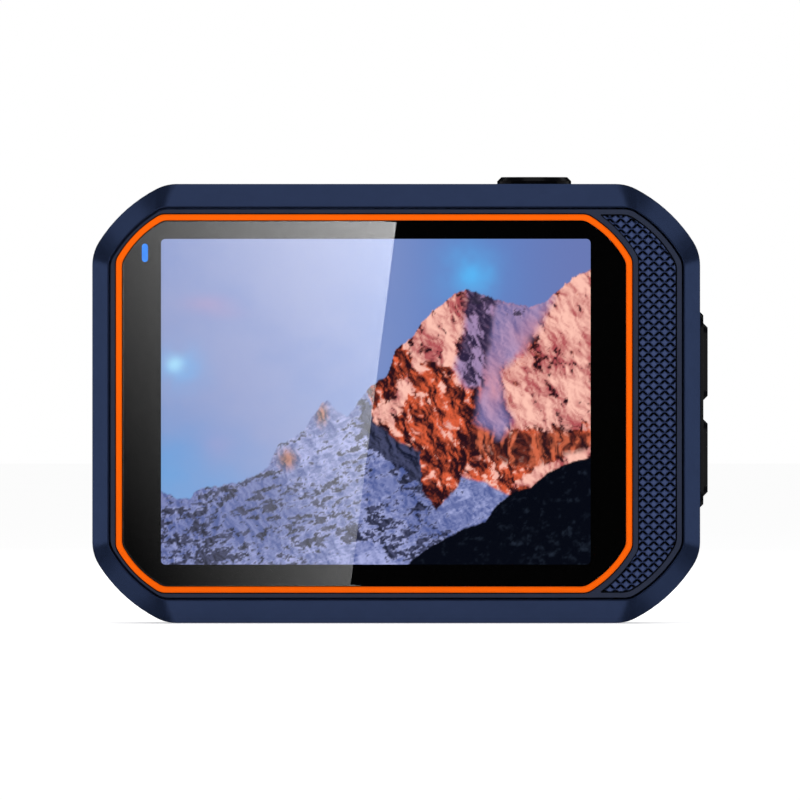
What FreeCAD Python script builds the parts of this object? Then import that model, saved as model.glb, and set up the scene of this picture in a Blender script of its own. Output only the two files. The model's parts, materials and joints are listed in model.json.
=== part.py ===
import FreeCAD, Part
import math
import os

Vector = FreeCAD.Vector

# An action camera standing on its base. The screen faces -Y, the lens faces +Y, +X is to the right
# when looking at the screen and +Z is up. Millimetres throughout.

# ---- Driving dimensions ----
BODY_W = 58.0
BODY_H = 41.9
BODY_D = 24.0
REAR = -BODY_D / 2
FRONT = BODY_D / 2
MID_Z = BODY_H / 2
BEVEL = 2.4              # depth of the bevel round the rear and the front
PART_GAP = 0.2           # width of the parting groove between the casing and its end panels
LIP = 0.12               # flat land between the bevel and the parting groove
LEDGE_W = 0.45           # ledges inside the casing that the rear panel and front cover rest on
LEDGE_T = 0.8
INNER_WALL_X = 27.9      # ribs and collars inside the casing run out to here

PANEL_T = 2.0            # rear panel and front cover thickness
GLASS_T = 1.1
FIT = 0.08               # gap round glass and other dropped-in pieces
TRIM_W = 0.565
TRIM_PROUD = 0.15
SCREEN_LEFT = -26.715
SCREEN_RIGHT = 22.498
SCREEN_HALF_H = 18.03

LCD_LEFT = -23.05        # the display module behind the rear glass
LCD_RIGHT = 20.25
LCD_LOW = 4.55
LCD_HIGH = 37.45
LCD_BEHIND_GLASS = 0.2
LCD_FRONT = -9.75        # where the cell meets its backlight
BACKLIGHT_FRONT = -8.85
TRAY_WALL = 0.2

LIGHT_LENGTH = 1.75      # the status light's window
LIGHT_WIDTH = 0.58
LIGHT_R = 0.28
PIPE_LENGTH = 3.4
REAR_LIGHT = (-23.97, MID_Z + 14.37)
FRONT_LIGHT = (-6.0, 8.0)
SPEAKER_Z = 12.1
SPEAKER_PITCH = 1.5
SPEAKER_HOLE_R = 0.35
MICROPHONE_PLACE = (2.5, 37.2)
MICROPHONE_HOLE_R = 0.4

GRIP_MARGIN = 0.55       # from the parting groove to the grip
GRIP_TO_TRIM = 0.65
GRIP_PITCH_X = 1.05
GRIP_PITCH_Z = 1.026
GRIP_RECESS = 0.12
GRIP_GROOVE = 0.30       # depth of the V grooves
GRIP_GROOVE_HALF = 0.2   # half of their width
GRIP_T = 0.85
GRIP_TIPS_X = 19.6       # where the strip's two ends are cut off
GRIP_CROSSING = (23.51, MID_Z + 0.17)
GRIP_EDGE_GAP = 0.15     # between the strip's outer edge and the panel's rim

SHUTTER_X = 13.2
SHUTTER_W = 7.06
SHUTTER_L = 12.0
SHUTTER_PROUD = 0.69
SHUTTER_R = 3.0
SHUTTER_FOOT = 39.0      # where the stem meets its flange
SHUTTER_SWITCH_Z = 37.12

KEY_PLATE_PROUD = 0.365
KEY_PROUD = 0.79
KEY_LENGTH = 7.4
KEY_WIDTH = 6.0
KEY_R = 1.0
KEY_FLANGE_X = 26.3
KEY_SWITCH_X = 24.7
UP_KEY_Z = MID_Z + 4.0
DOWN_KEY_Z = MID_Z - 5.19
KEY_PLATE_H = 18.68
KEY_PLATE_W = 9.0
KEY_PLATE_R = 1.5
KEY_PLATE_SUNK = 0.8
KEY_PLATE_Z = MID_Z - 0.59

LENS_X = -16.0
LENS_Z = 26.6
LENS_FRONT = FRONT + 5.3
HOUSING_BACK = 9.2
HOUSING_FLANGE = 9.95    # the flange behind the front cover ends here
HOUSING_STEP = 13.2      # front of the housing's wide step
HOUSING_FRONT = 15.5
HOUSING_BORE_R = 7.3
COVER_BACK = 13.3
COVER_SEAT = 15.6        # the gasket's seat inside the lens cover
COVER_LIP = 16.75        # back of the lip that holds the cover's glass
COVER_R = 9.5
COVER_GLASS_R = 8.0
COVER_CHAMFER = 0.6
FLUTES = 30
BAYONET_LUGS = 3
BARREL_BACK = 2.4
BARREL_FRONT = 14.9
SMALL_BORE_R = 4.6       # the barrel's bore for the two rear elements
LARGE_BORE_R = 5.6       # and for the two front ones

BATTERY_W = 27.0
BATTERY_T = 9.8
BATTERY_H = 33.0
BATTERY_LEFT = -7.2
BATTERY_BACK = -2.4
BATTERY_BASE = 2.2

BAY_CLEAR = 0.3          # between the battery and its bay
BAY_WALL = 0.6

BOARD_BACK = -6.3
BOARD_T = 1.0
BOARD_FRONT = BOARD_BACK + BOARD_T
PLATE_BACK = -8.6        # the chassis plate between the screen and the board
PLATE_T = 0.4

TRIPOD_X = LENS_X
TRIPOD_THREAD_R = 2.55   # wall of a tapped quarter-inch camera thread
TRIPOD_DEPTH = 6.0
TRIPOD_INSERT_R = 4.28
TRIPOD_INSERT_L = 6.95

SCREW_R = 0.75
SCREW_HEAD_R = 1.35
SCREW_HEAD_T = 0.8
SCREW_LENGTH = 3.6
BOARD_SCREW_R = 0.53
RUNNING = 0.03           # radial clearance of a hinge pin
GAP = 0.15               # clearance round doors and keys

# Screw places as (x, z): through the front cover, into the rear panel and through the main board.
COVER_SCREWS = [(-24.3, 7.6), (24.3, 7.6), (24.3, 34.3), (-10.1, 37.4)]
PANEL_SCREWS = [(24.4, 10.0), (24.4, 32.0)]
BOARD_SCREWS = [(-20.0, 9.3), (-4.0, 33.5), (20.0, 20.0)]
TONGUE_Z = [8.2, 33.4]   # hooks on the rear panel's left edge

# Directions for shapes drawn lying in XY and raised along Z.
FACING_RIGHT = ((0, 0, 1), (0, -1, 0), (1, 0, 0))
FACING_FRONT = ((0, 0, 1), (1, 0, 0), (0, 1, 0))

# Moves the modelled body so that the origin is under the middle of the whole camera,
# with its keys and its lens ring.
SHIFT = Vector(-KEY_PROUD / 2, -(LENS_FRONT + REAR - TRIM_PROUD) / 2, 0)


# ---- Plain shapes ----
def box(x0, x1, y0, y1, z0, z1):
    return Part.makeBox(x1 - x0, y1 - y0, z1 - z0, Vector(x0, y0, z0))


def rod(axis, radius, start, end, first, second):
    """A round bar along X, Y or Z. first and second are its place on the other two axes."""
    bases = {
        "x": (Vector(start, first, second), Vector(1, 0, 0)),
        "y": (Vector(first, start, second), Vector(0, 1, 0)),
        "z": (Vector(first, second, start), Vector(0, 0, 1)),
    }
    base, direction = bases[axis]
    return Part.makeCylinder(radius, end - start, base, direction)


def washer(axis, outer, inner, start, end, first, second):
    hole = rod(axis, inner, start - 1, end + 1, first, second)
    return rod(axis, outer, start, end, first, second).cut(hole)


def joined(shapes):
    return shapes[0].multiFuse(shapes[1:]).removeSplitter()


def pill(length, width, depth, radius):
    """A rounded rectangle in the XY plane about the origin, raised from z = 0 to depth."""
    body = box(-length / 2, length / 2, -width / 2, width / 2, 0, depth)
    upright = [edge for edge in body.Edges if abs(edge.BoundBox.ZLength - depth) < 1e-6]
    return body.makeFillet(radius, upright)


def pill_cap(length, width, depth, radius, chamfer):
    """A pill whose far rim is chamfered."""
    body = pill(length, width, depth - chamfer, radius)
    base = pill(length, width, 0.01, radius).Faces
    rim = [face for face in base if face.normalAt(0, 0).z < -0.99][0].OuterWire.copy()
    rim.translate(Vector(0, 0, depth - chamfer))
    small = pill(length - 2 * chamfer, width - 2 * chamfer, 0.01, radius - chamfer).Faces
    top = [face for face in small if face.normalAt(0, 0).z < -0.99][0].OuterWire.copy()
    top.translate(Vector(0, 0, depth))
    return joined([body, Part.makeLoft([rim, top], True, True)])


def placed(shape, origin, x_axis, y_axis, z_axis):
    """The shape moved from its own axes to axes given by three unit directions."""
    rows = []
    for row in zip(x_axis, y_axis, z_axis, origin):
        rows.extend(row)
    matrix = FreeCAD.Matrix(*rows, 0, 0, 0, 1)
    moved = shape.copy()
    moved.Placement = FreeCAD.Placement(matrix).multiply(moved.Placement)
    return moved


class Outline:
    """A rectangle in the XZ plane whose four corners are cut, bulged outwards and blended."""

    def __init__(self, left, right, bottom, top, cut_x, cut_z, bulge, blend):
        self.left = left
        self.right = right
        self.bottom = bottom
        self.top = top
        self.cut_x = cut_x
        self.cut_z = cut_z
        self.bulge = bulge
        self.blend = blend

    def grown(self, by):
        cut_change = by * (2 - math.sqrt(2))
        return Outline(self.left - by, self.right + by, self.bottom - by, self.top + by,
                       self.cut_x + cut_change, self.cut_z + cut_change, self.bulge, self.blend)

    def corner(self, to_x, to_z):
        """Seven points of one corner, from its upright side to its level side."""
        chord = math.hypot(self.cut_x, self.cut_z)
        big = chord * chord / (8 * self.bulge) + self.bulge / 2
        inward = big - self.bulge
        centre = (self.cut_x / 2 + self.cut_z / chord * inward,
                  self.cut_z / 2 + self.cut_x / chord * inward)
        reach = big - self.blend
        low = (self.blend, centre[1] - math.sqrt(reach ** 2 - (centre[0] - self.blend) ** 2))
        high = (centre[0] - math.sqrt(reach ** 2 - (centre[1] - self.blend) ** 2), self.blend)

        def on_big(point):
            scale = big / reach
            return (centre[0] + (point[0] - centre[0]) * scale, centre[1] + (point[1] - centre[1]) * scale)

        def between(middle, radius, first, last):
            across = first[0] + last[0] - 2 * middle[0]
            along = first[1] + last[1] - 2 * middle[1]
            size = math.hypot(across, along)
            return (middle[0] + radius * across / size, middle[1] + radius * along / size)

        start = (0, low[1])
        end = (high[0], 0)
        first = on_big(low)
        last = on_big(high)
        points = [start, between(low, self.blend, start, first), first,
                  between(centre, big, first, last), last,
                  between(high, self.blend, last, end), end]
        corner_x = self.right if to_x > 0 else self.left
        corner_z = self.top if to_z > 0 else self.bottom
        return [(corner_x - to_x * across, corner_z - to_z * along) for across, along in points]

    def wire(self, y):
        corners = [self.corner(1, 1), self.corner(-1, 1)[::-1], self.corner(-1, -1), self.corner(1, -1)[::-1]]
        edges = []
        for number, points in enumerate(corners):
            spots = [Vector(x, y, z) for x, z in points]
            for first in (0, 2, 4):
                edges.append(Part.Arc(spots[first], spots[first + 1], spots[first + 2]).toShape())
            after = corners[(number + 1) % 4][0]
            edges.append(Part.LineSegment(spots[6], Vector(after[0], y, after[1])).toShape())
        return Part.Wire(edges)

    def prism(self, y0, y1):
        return Part.Face(self.wire(y0)).extrude(Vector(0, y1 - y0, 0))


def lofted(steps):
    """A solid through outlines at given depths: a list of (outline, y)."""
    return Part.makeLoft([outline.wire(y) for outline, y in steps], True, True)


SILHOUETTE = Outline(-BODY_W / 2, BODY_W / 2, 0, BODY_H, 7.12, 6.64, 0.85, 4.2)
GROOVE = Outline(-27.33, 27.33, 2.35, BODY_H - 2.35, 5.0, 5.1, 0.5, 2.0)
OPENING = GROOVE.grown(PART_GAP / 2)
PANEL = GROOVE.grown(-PART_GAP / 2)
BEVEL_TOP = OPENING.grown(LIP)
SCREEN = Outline(SCREEN_LEFT, SCREEN_RIGHT, MID_Z - SCREEN_HALF_H, MID_Z + SCREEN_HALF_H,
                 4.28, 4.35, 0.43, 1.5)
SCREEN_INNER = SCREEN.grown(-TRIM_W)
SCREEN_GLASS = SCREEN_INNER.grown(-FIT)
FRONT_SCREEN = Outline(-4.6, 22.6, 7.3, 34.5, 3.0, 3.0, 0.3, 1.2)

nodes = {}


# ---- A hinged hatch, used for the battery door and the port door ----
class Hatch:
    """A sealed hatch in its own axes: X along the hinge, Y from the hinge to the free edge, Z inwards.

    The outer skin is at z = 0 and the hinge axis stands over y = 0 at z = PIVOT."""

    PLATE = 1.2
    PIVOT = 0.85
    KNUCKLE = 0.8
    PIN = 0.5
    SEAL = 0.45
    FLOOR = 1.75             # depth of the rebate that the seal closes on
    MOUTH = 1.85             # from the hinge axis to the inner opening
    EARS = 1.1               # how far the casing's hinge ears reach past the axis
    RIM = 0.9                # rebate outside the inner opening

    def __init__(self, mouth_x0, mouth_x1, mouth_length):
        self.x0 = mouth_x0
        self.x1 = mouth_x1
        self.end = self.MOUTH + mouth_length

    def mouth(self, depth):
        return box(self.x0, self.x1, self.MOUTH, self.end, -1, depth)

    def rebate(self):
        over = box(self.x0 - self.RIM, self.x1 + self.RIM, self.EARS, self.end + self.RIM, -1, self.FLOOR)
        hinge = box(self.x0 + 0.15, self.x1 - 0.15, -1.0, self.EARS + 0.1, -1, self.FLOOR + 0.1)
        pin_hole = rod("x", self.PIN, self.x0 - 1.2, self.x1 + 1.2, 0, self.PIVOT)
        return joined([over, hinge, pin_hole])

    def pin(self):
        return rod("x", self.PIN, self.x0 - 1.1, self.x1 + 1.1, 0, self.PIVOT)

    def plate(self):
        edge = self.RIM - GAP
        skin = box(self.x0 - edge, self.x1 + edge, 1.4, self.end + edge, 0, self.PLATE)
        upright = [line for line in skin.Edges if line.BoundBox.ZLength > self.PLATE - 0.01]
        skin = skin.makeFillet(0.5, upright)
        web = box(self.x0 + 0.3, self.x1 - 0.3, 0, 2.0, self.PIVOT - self.KNUCKLE, self.PLATE)
        knuckle = rod("x", self.KNUCKLE, self.x0 + 0.3, self.x1 - 0.3, 0, self.PIVOT)
        bore = rod("x", self.PIN + RUNNING, self.x0 - 2, self.x1 + 2, 0, self.PIVOT)
        return joined([skin, web, knuckle]).cut(bore)

    def seal(self):
        outer = box(self.x0 - 0.5, self.x1 + 0.5, self.MOUTH - 0.4, self.end + 0.5,
                    self.PLATE, self.PLATE + self.SEAL)
        inner = box(self.x0 - 0.05, self.x1 + 0.05, self.MOUTH - 0.05, self.end + 0.05, 0, 3)
        return outer.cut(inner)


BATTERY_RIGHT = BATTERY_LEFT + BATTERY_W
BATTERY_HINGE_Y = BATTERY_BACK - BAY_CLEAR - Hatch.MOUTH
battery_hatch = Hatch(BATTERY_LEFT - BAY_CLEAR, BATTERY_RIGHT + BAY_CLEAR, BATTERY_T + 2 * BAY_CLEAR)
PORT_HINGE_Y = 0.35
PORT_Z0 = 11.2
PORT_Z1 = 30.4
port_hatch = Hatch(PORT_Z0, PORT_Z1, 6.8)

LATCH_X = 6.3
LATCH_W = 6.6
LATCH_Y0 = 9.65          # latch inner end, from the hinge axis
LATCH_REACH = 3.2
LATCH_TRAVEL = 1.3


def on_base(shape):
    """From a hatch's own axes to the underside of the casing."""
    return placed(shape, (0, BATTERY_HINGE_Y, 0), (1, 0, 0), (0, 1, 0), (0, 0, 1))


def on_left(shape):
    """From a hatch's own axes to the left side of the casing."""
    return placed(shape, (-BODY_W / 2, PORT_HINGE_Y, 0), (0, 0, 1), (0, -1, 0), (1, 0, 0))


def latch_block(y0, y1, z0, z1, grow=0.0):
    """A block as wide as the door latch, in the hatch's own axes."""
    return box(LATCH_X - LATCH_W / 2 - grow, LATCH_X + LATCH_W / 2 + grow, y0, y1, z0, z1)


def make_battery_door():
    past_edge = 20
    slot = latch_block(LATCH_Y0 - 0.1, past_edge, -1, 1.0, 0.1)
    rails = latch_block(LATCH_Y0 - 0.1, past_edge, 0.4, 0.78, 0.35)
    nodes["battery_door"] = on_base(battery_hatch.plate().cut(slot).cut(rails))
    nodes["battery_door_seal"] = on_base(battery_hatch.seal())

    thumb_end = LATCH_Y0 + 1.9
    thumb = latch_block(LATCH_Y0, thumb_end, 0.05, 0.95)
    tongue = latch_block(thumb_end, LATCH_Y0 + LATCH_REACH, 0.5, 0.95)
    ribs = latch_block(LATCH_Y0, thumb_end, 0.5, 0.7, 0.25)
    latch = joined([thumb, tongue, ribs])
    for ridge in range(3):
        start = LATCH_Y0 + 0.35 + 0.5 * ridge
        latch = latch.cut(box(LATCH_X - 2.4, LATCH_X + 2.4, start, start + 0.25, 0, 0.2))
    nodes["door_latch"] = on_base(latch)


def make_port_door():
    nail_notch = box(18.8, 22.8, port_hatch.end + 0.35, port_hatch.end + 2, -0.1, 0.5)
    nodes["port_door"] = on_left(port_hatch.plate().cut(nail_notch))
    nodes["port_door_seal"] = on_left(port_hatch.seal())


def make_hinge_pins():
    nodes["hinge_pins"] = Part.makeCompound([on_base(battery_hatch.pin()), on_left(port_hatch.pin())])


# ---- Casing and covers ----
def make_main_casing():
    outer = lofted([(BEVEL_TOP, REAR), (SILHOUETTE, REAR + BEVEL),
                    (SILHOUETTE, FRONT - BEVEL), (BEVEL_TOP, FRONT)])
    shell = outer.cut(OPENING.prism(REAR - 1, FRONT + 1))

    boss_back = 4.5
    boss_front = FRONT - PANEL_T - 0.05
    additions = []
    for x, z in COVER_SCREWS:
        additions.append(rod("y", 1.9, boss_back, boss_front, x, z))
        if abs(x) > BODY_W / 3:
            wall_x = math.copysign(INNER_WALL_X, x)
            additions.append(box(min(x, wall_x), max(x, wall_x), boss_back, boss_front, z - 1, z + 1))
        else:
            additions.append(box(x - 1, x + 1, boss_back, boss_front, z, BODY_H - 1.9))
    for x, z in PANEL_SCREWS:
        additions.append(box(x - 1.8, INNER_WALL_X, -8.5, -7.0, z - 1.8, z + 1.8))
    additions.append(rod("z", TRIPOD_INSERT_R + 0.92, 1.0, 7.6, TRIPOD_X, 0))
    port_collar = box(-INNER_WALL_X, -INNER_WALL_X + 1.4, -9.2, 0.0, PORT_Z0 - 1.8, PORT_Z1 + 1.8)
    additions.append(port_collar)
    ledge_back = REAR + PANEL_T + 0.05
    for back in (ledge_back, boss_front - LEDGE_T):
        ledge = OPENING.grown(0.1).prism(back, back + LEDGE_T)
        additions.append(ledge.cut(OPENING.grown(-LEDGE_W).prism(REAR, FRONT)))
    shell = joined([shell] + additions)

    cuts = [on_base(battery_hatch.rebate()), on_base(battery_hatch.mouth(4)),
            on_left(port_hatch.rebate()), on_left(port_hatch.mouth(4))]
    tongue_end = LATCH_Y0 + LATCH_REACH + LATCH_TRAVEL
    latch_pocket = latch_block(battery_hatch.end, tongue_end + 0.15, 0.42, 1.05, 0.1)
    cuts.append(on_base(latch_pocket))
    cuts.append(rod("z", TRIPOD_INSERT_R + 0.02, -1, TRIPOD_INSERT_L + 0.05, TRIPOD_X, 0))
    for x, z in COVER_SCREWS:
        cuts.append(rod("y", SCREW_R, 5.0, FRONT, x, z))
    for x, z in PANEL_SCREWS:
        cuts.append(rod("y", SCREW_R + 0.1, -9.0, -6.0, x, z))
    for z in TONGUE_Z:
        cuts.append(box(-28.1, -27.0, -9.5, -8.3, z - 1.0, z + 1.0))
        cuts.append(box(-27.3, -26.5, ledge_back - 0.1, -8.3, z - 1.0, z + 1.0))
    shutter_hole = pill(SHUTTER_W + 2 * GAP, SHUTTER_L + 2 * GAP, 5, SHUTTER_R + GAP)
    shutter_hole.translate(Vector(SHUTTER_X, 0, BODY_H - 4))
    cuts.append(shutter_hole)
    plate_pocket = pill(KEY_PLATE_H + 0.04, KEY_PLATE_W + 0.04, 3, KEY_PLATE_R)
    cuts.append(placed(plate_pocket, (BODY_W / 2 - KEY_PLATE_SUNK, 0, KEY_PLATE_Z), *FACING_RIGHT))
    for z in (UP_KEY_Z, DOWN_KEY_Z):
        hole = pill(KEY_LENGTH + 2 * GAP, KEY_WIDTH + 2 * GAP, 6, KEY_R + GAP)
        cuts.append(placed(hole, (BODY_W / 2 - 4, 0, z), *FACING_RIGHT))
    for shape in cuts:
        shell = shell.cut(shape)
    nodes["main_casing"] = shell


def grip_outline_solid(y0, y1, grow, edge_gap=0.0):
    """The crescent between the screen trim and the panel's right edge, grown by grow all round."""
    outer = GROOVE.grown(grow - edge_gap - GRIP_MARGIN).prism(y0, y1)
    inner = SCREEN.grown(GRIP_TO_TRIM - grow).prism(y0 - 1, y1 + 1)
    tips = box(GRIP_TIPS_X - grow, BODY_W, y0, y1, 0, BODY_H)
    return outer.cut(inner).common(tips)


def make_rear_panel():
    panel = PANEL.prism(REAR, REAR + PANEL_T)
    additions = []
    for x, z in PANEL_SCREWS:
        additions.append(rod("y", 1.6, REAR + PANEL_T - 0.5, -8.55, x, z))
    for z in TONGUE_Z:
        additions.append(box(-27.1, -26.2, REAR + PANEL_T - 0.5, -8.4, z - 0.9, z + 0.9))
        additions.append(box(-27.95, -26.2, -9.3, -8.5, z - 0.9, z + 0.9))
    panel = joined([panel] + additions)
    pocket_floor = REAR + GLASS_T + 0.05
    module_gap = 2 * TRAY_WALL - 0.05
    cuts = [SCREEN.grown(0.1).prism(REAR - 1, pocket_floor),
            box(LCD_LEFT - module_gap, LCD_RIGHT + module_gap, pocket_floor - 0.01, -9,
                LCD_LOW - module_gap, LCD_HIGH + module_gap),
            grip_outline_solid(REAR - 1, REAR + GRIP_T + 0.05, FIT, FIT)]
    x, z = REAR_LIGHT
    cuts.append(placed(light_pipe(6, 0.05), (x, REAR, z), *FACING_FRONT))
    for x, z in PANEL_SCREWS:
        cuts.append(rod("y", SCREW_R, -10.7, -8, x, z))
    for shape in cuts:
        panel = panel.cut(shape)
    nodes["rear_panel"] = panel


def make_screen():
    foot = REAR + GLASS_T
    edge = 0.12
    crown = REAR - TRIM_PROUD
    outer = lofted([(SCREEN.grown(-edge), crown), (SCREEN, crown + edge), (SCREEN, foot)])
    inner = lofted([(SCREEN_INNER.grown(2 * edge), crown - edge), (SCREEN_INNER, crown + edge),
                    (SCREEN_INNER, foot + 1)])
    nodes["screen_trim"] = outer.cut(inner)
    glass_edge = 0.08
    nodes["screen_glass"] = lofted([(SCREEN_GLASS.grown(-glass_edge), REAR),
                                    (SCREEN_GLASS, REAR + glass_edge), (SCREEN_GLASS, foot)])

    def module(y0, y1, grow):
        return box(LCD_LEFT - grow, LCD_RIGHT + grow, y0, y1, LCD_LOW - grow, LCD_HIGH + grow)

    cell_back = foot + LCD_BEHIND_GLASS
    nodes["lcd_cell"] = module(cell_back, LCD_FRONT, 0)
    nodes["lcd_backlight"] = module(LCD_FRONT, BACKLIGHT_FRONT, -0.15)
    tray = module(cell_back, BACKLIGHT_FRONT + 0.05 + TRAY_WALL, 0.05 + TRAY_WALL)
    nodes["lcd_tray"] = tray.cut(module(REAR, BACKLIGHT_FRONT + 0.05, 0.05))


def make_grip():
    """Crossing V grooves leave rows of diamonds standing on the base."""
    crown = REAR + GRIP_RECESS
    grip = grip_outline_solid(crown, REAR + GRIP_T, 0, GRIP_EDGE_GAP)
    slope = math.atan2(GRIP_PITCH_Z, GRIP_PITCH_X)
    spacing = GRIP_PITCH_X * math.sin(slope)
    above = -0.02
    blank = Part.makePolygon([Vector(-GRIP_GROOVE_HALF, above, 0), Vector(GRIP_GROOVE_HALF, above, 0),
                              Vector(0, GRIP_GROOVE, 0), Vector(-GRIP_GROOVE_HALF, above, 0)])
    reach = 30
    grooves_each_way = 23
    x, z = GRIP_CROSSING
    middle = Vector(x, crown, z)
    for lean in (slope, -slope):
        turn = FreeCAD.Rotation(Vector(0, 1, 0), 90 - math.degrees(lean))
        tools = []
        for step in range(-grooves_each_way, grooves_each_way + 1):
            wedge = Part.Face(blank).extrude(Vector(0, 0, 2 * reach))
            wedge.translate(Vector(step * spacing, 0, -reach))
            tools.append(wedge)
        comb = Part.makeCompound(tools)
        comb.Placement = FreeCAD.Placement(middle, turn)
        grip = grip.cut(comb)
    nodes["grip_panel"] = grip


def make_front_cover():
    cover = PANEL.prism(FRONT - PANEL_T, FRONT)
    cuts = [rod("y", 9.1, FRONT - 3, FRONT + 1, LENS_X, LENS_Z),
            FRONT_SCREEN.prism(FRONT - GLASS_T - 0.05, FRONT + 1),
            box(FRONT_SCREEN.left + 1, FRONT_SCREEN.right - 1, FRONT - 3, FRONT - GLASS_T,
                FRONT_SCREEN.bottom + 1, FRONT_SCREEN.top - 1),
            rod("y", MICROPHONE_HOLE_R, FRONT - 3, FRONT + 1, *MICROPHONE_PLACE)]
    x, z = FRONT_LIGHT
    cuts.append(placed(light_pipe(6, 0.05), (x, FRONT - 4, z), *FACING_FRONT))
    for x, z in COVER_SCREWS:
        cuts.append(rod("y", SCREW_R + 0.1, FRONT - 3, FRONT, x, z))
        cuts.append(rod("y", SCREW_HEAD_R + 0.1, FRONT - 0.9, FRONT + 1, x, z))
    for column in range(-3, 4):
        for row in range(-1, 2):
            cuts.append(rod("y", SPEAKER_HOLE_R, FRONT - 3, FRONT + 1,
                            LENS_X + SPEAKER_PITCH * column, SPEAKER_Z + SPEAKER_PITCH * row))
    openings = Part.makeCompound(cuts[:3])
    small_holes = Part.makeCompound(cuts[3:])
    nodes["front_cover"] = cover.cut(openings).cut(small_holes)
    nodes["front_glass"] = FRONT_SCREEN.grown(-FIT).prism(FRONT - GLASS_T, FRONT)
    nodes["front_lcd"] = box(FRONT_SCREEN.left + 1.1, FRONT_SCREEN.right - 1.1,
                             9.3, FRONT - GLASS_T - 0.05,
                             FRONT_SCREEN.bottom + 1.1, FRONT_SCREEN.top - 1.1)


def light_pipe(length, grow=0.0):
    """A status light's clear pipe, or the hole for one when it is grown."""
    return pill(LIGHT_LENGTH + 2 * grow, LIGHT_WIDTH + 2 * grow, length, LIGHT_R + grow)


def make_lights_and_sound():
    x, z = REAR_LIGHT
    rear = placed(light_pipe(PIPE_LENGTH), (x, REAR + GLASS_T + 0.03, z), *FACING_FRONT)
    x, z = FRONT_LIGHT
    front = placed(light_pipe(PIPE_LENGTH), (x, FRONT - PIPE_LENGTH - 0.02, z), *FACING_FRONT)
    nodes["led_pipes"] = Part.makeCompound([rear, front])
    body = pill(7.0, 13.0, 2.7, 1.5)
    nodes["speaker"] = placed(body, (LENS_X, 7.2, SPEAKER_Z), *FACING_FRONT)
    x, z = MICROPHONE_PLACE
    nodes["microphone"] = box(x - 1.75, x + 1.75, 8.9, 9.9, z - 1.3, z + 1.3)


# ---- Lens ----
def on_lens(outer, inner, start, end):
    return washer("y", outer, inner, start, end, LENS_X, LENS_Z)


def around_lens(shape, degrees):
    turned = shape.copy()
    turned.rotate(Vector(LENS_X, 0, LENS_Z), Vector(0, 1, 0), degrees)
    return turned


def lens_element(radius, back, front, crown, hollow):
    """A round element with a domed front of radius crown and a hollow back that rises by hollow."""
    glass = rod("y", radius, back, front, LENS_X, LENS_Z)
    dome = Part.makeSphere(crown, Vector(LENS_X, front - crown, LENS_Z))
    dish = Part.makeSphere(radius, Vector(LENS_X, back + hollow - radius, LENS_Z))
    return glass.common(dome).cut(dish)


def cone_from_front(front_radius, back_radius, depth):
    """A cone on the lens axis that runs backwards from the front of the lens."""
    tip = Vector(LENS_X, LENS_FRONT, LENS_Z)
    return Part.makeCone(front_radius, back_radius, depth, tip, Vector(0, -1, 0))


def make_lens_cover():
    """A ring that turns off a bayonet, with its own flat glass."""
    ring = joined([on_lens(COVER_R, 8.4, COVER_BACK, COVER_SEAT),
                   on_lens(COVER_R, COVER_GLASS_R + 0.02, COVER_SEAT, COVER_LIP),
                   on_lens(COVER_R, HOUSING_BORE_R, COVER_LIP, LENS_FRONT)])
    lug = box(LENS_X - 1.4, LENS_X + 1.4, COVER_BACK + 0.15, COVER_BACK + 0.75, LENS_Z + 7, LENS_Z + 9)
    lug = lug.common(on_lens(8.7, 8.0, COVER_BACK, COVER_SEAT))
    step = 360 / BAYONET_LUGS
    ring = joined([ring] + [around_lens(lug, step * turn) for turn in range(BAYONET_LUGS)])
    depth = 1.5
    front_edge = cone_from_front(COVER_R - COVER_CHAMFER, COVER_R - COVER_CHAMFER + depth, depth)
    behind_edge = box(LENS_X - 20, LENS_X + 20, LENS_FRONT - depth, LENS_FRONT + 10,
                      LENS_Z - 20, LENS_Z + 20)
    ring = joined([ring.common(front_edge), ring.cut(behind_edge)])
    ring = ring.cut(cone_from_front(HOUSING_BORE_R + COVER_CHAMFER, HOUSING_BORE_R, COVER_CHAMFER))
    flutes = []
    for turn in range(FLUTES):
        flute = rod("y", 0.45, COVER_BACK - 0.3, LENS_FRONT - 0.9, LENS_X, LENS_Z + COVER_R + 0.25)
        flutes.append(around_lens(flute, 360 / FLUTES * turn))
    nodes["lens_cover_ring"] = ring.cut(Part.makeCompound(flutes))
    nodes["lens_cover_glass"] = rod("y", COVER_GLASS_R, COVER_SEAT + 0.2, COVER_LIP, LENS_X, LENS_Z)
    nodes["lens_cover_gasket"] = on_lens(COVER_GLASS_R, 7.4, COVER_SEAT - 0.02, COVER_SEAT + 0.2)


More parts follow.
